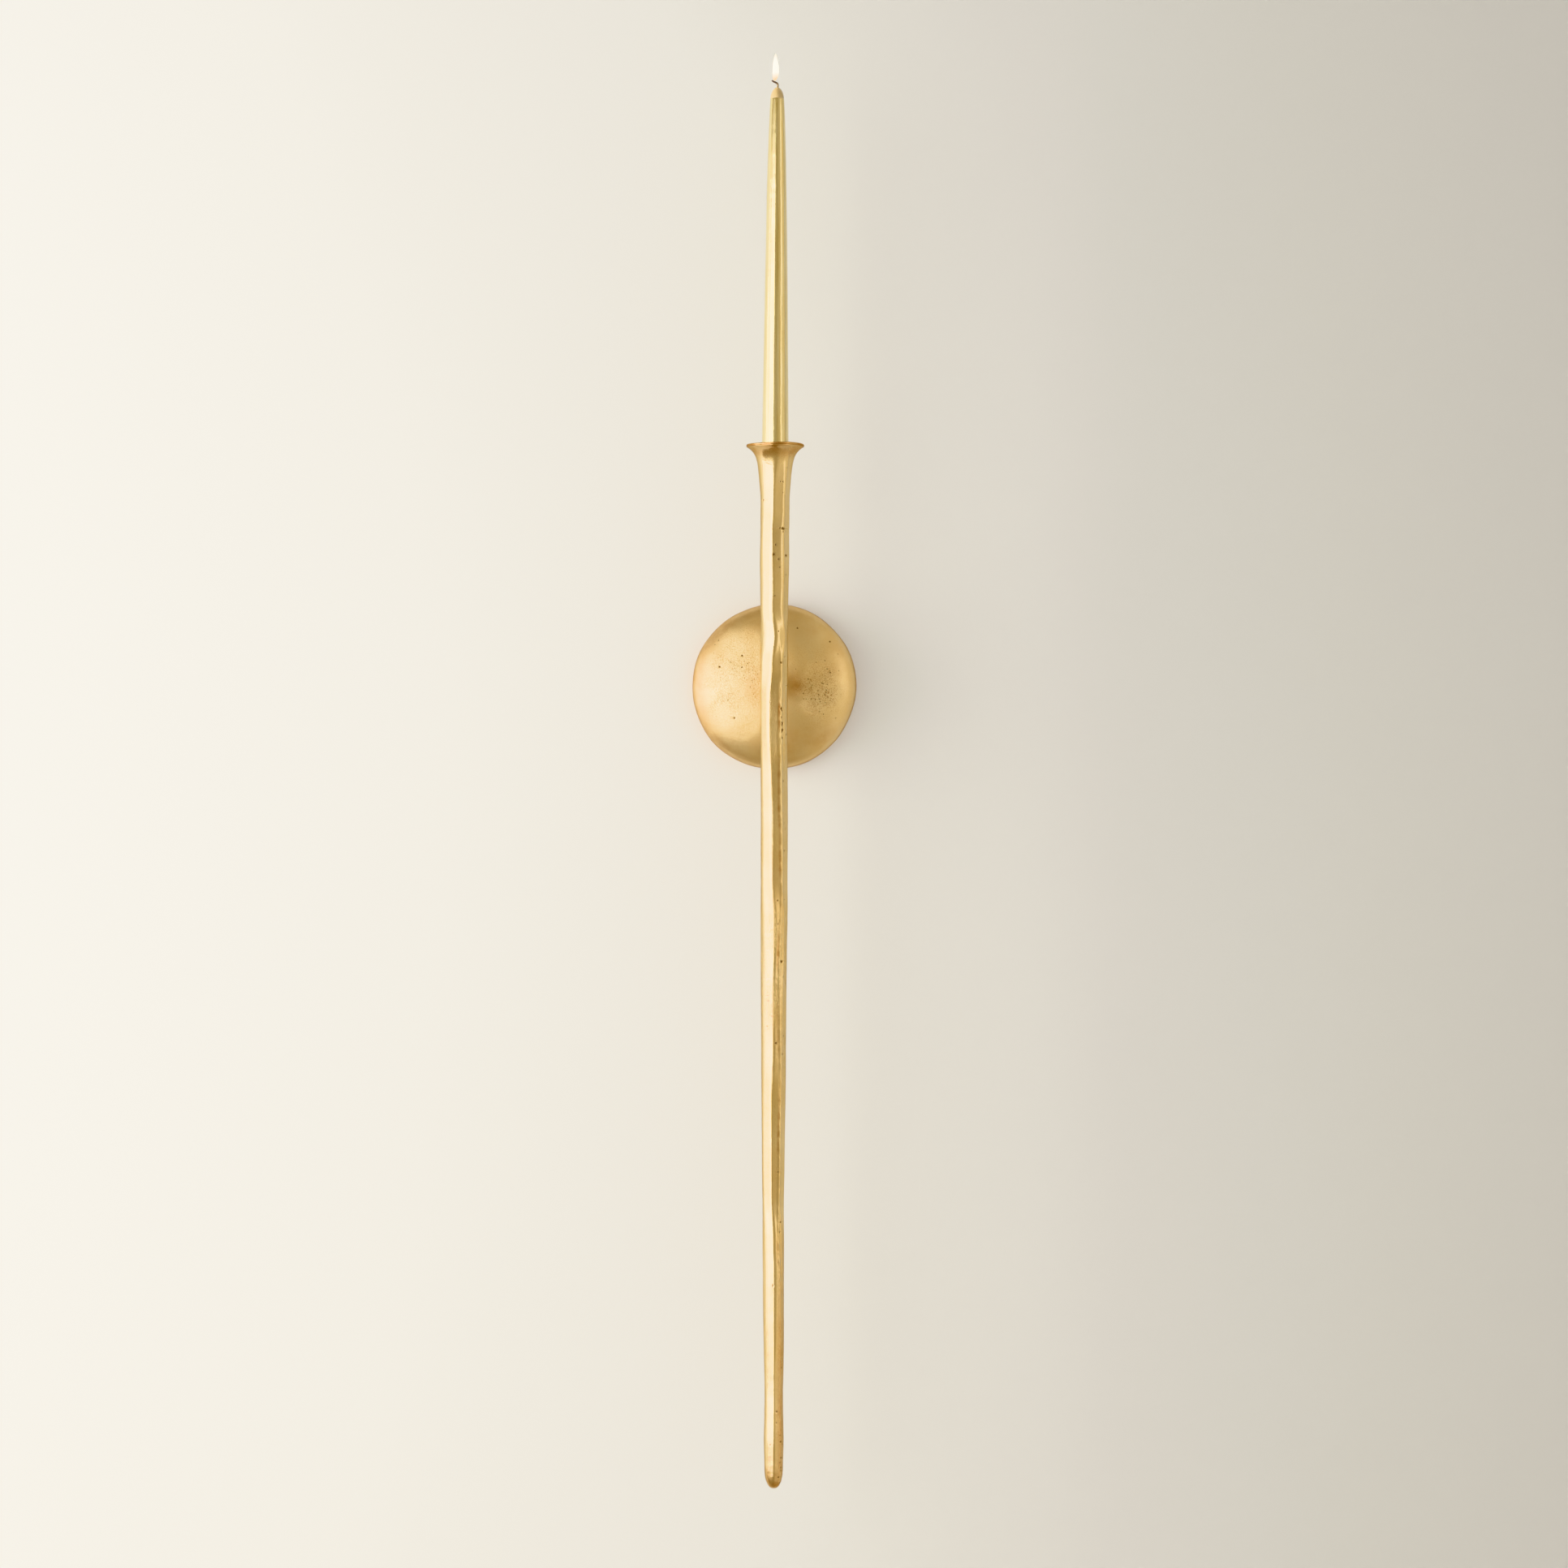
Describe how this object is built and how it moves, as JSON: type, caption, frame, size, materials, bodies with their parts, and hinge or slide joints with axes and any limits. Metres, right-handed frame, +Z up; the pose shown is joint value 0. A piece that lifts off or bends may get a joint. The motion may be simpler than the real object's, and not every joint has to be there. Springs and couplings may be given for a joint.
{
  "type": "wall sconce candle holder",
  "caption": "Wall sconce for a taper candle: a flared cup on a long tapering cast stem, held off a round domed backplate by a short post.",
  "frame": {"origin": "centre of the backplate, on the wall", "axes": "+Z up along the stem, +Y into the wall, -Y towards the front, +X to the right seen from the front"},
  "size_m": [0.135, 0.1084, 1.1276],
  "materials": {
    "cast_brass": "cast and hand finished, softly polished with aged darker patches",
    "backplate_brass": "cast and hand finished, finely pitted",
    "zinc_steel": "zinc plated",
    "black_steel": "black oxide",
    "candle_gold": "wax with a metallic gold lacquer, plain wax at the tip",
    "wick": "braided cotton, charred at the end",
    "flame": "glowing candle flame"
  },
  "bodies": {
    "sconce": {"stem": "cast_brass", "candle_cup": "cast_brass", "cup_stud": "zinc_steel", "standoff_post": "backplate_brass", "backplate_dome": "backplate_brass", "post_bolt": "zinc_steel", "flat_washer": "zinc_steel", "spring_washer": "black_steel", "locating_pins": "black_steel", "wall_bracket": "zinc_steel", "lock_screws": "black_steel"},
    "candle": {"candle_wax": "candle_gold", "candle_wick": "wick"}
  },
  "joints": [
    {"name": "candle_lift", "type": "slide", "parent": "sconce", "child": "candle", "axis": [0, 0, 1], "range_m": [0, 0.05]}
  ]
}
